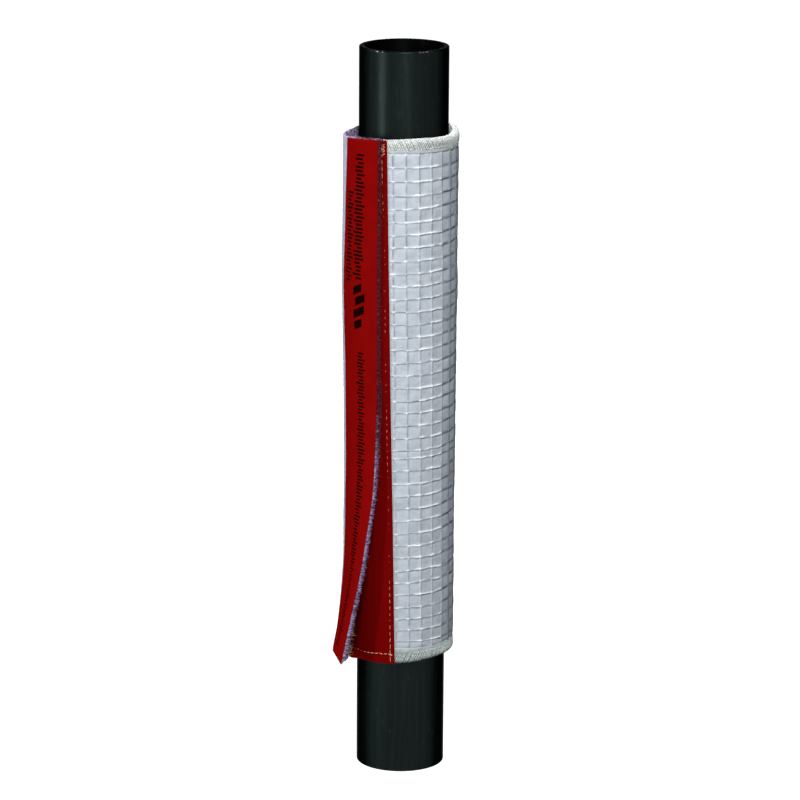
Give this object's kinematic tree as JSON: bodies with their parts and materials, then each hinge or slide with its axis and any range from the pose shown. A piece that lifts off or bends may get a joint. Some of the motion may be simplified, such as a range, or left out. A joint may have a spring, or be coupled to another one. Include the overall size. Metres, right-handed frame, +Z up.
{
  "type": "fire protection pipe sleeve",
  "caption": "Fibre fleece and scrim foil sleeve wrapped on a length of black steel pipe, with overlocked ends and a red lap flap that hangs loose at its lower end.",
  "frame": {"origin": "middle of the footprint box on the plane that the pipe stands on; the pipe's axis stands 4.4 mm towards +X and 4.0 mm towards +Y of it, because the loose flap widens the box on the other side", "axes": "+Z up along the pipe, -Y towards the viewer of the picture, +X to the viewer's right; the flap opens towards -X and -Y"},
  "size_m": [0.0834, 0.0826, 0.5],
  "materials": {
    "black_steel": "satin",
    "fibre_fleece": "matte",
    "scrim_foil": "satin",
    "overlock_thread": "matte",
    "dark_red_film": "satin",
    "flap_fleece": "matte",
    "red_film": "satin"
  },
  "bodies": {
    "root": {"steel_pipe": "black_steel", "fibre_mat": "fibre_fleece", "foil_cover": "scrim_foil", "top_hem": "overlock_thread", "bottom_hem": "overlock_thread", "closure_strip": "dark_red_film", "flap_fleece": "flap_fleece", "flap_film": "red_film"}
  },
  "joints": []
}
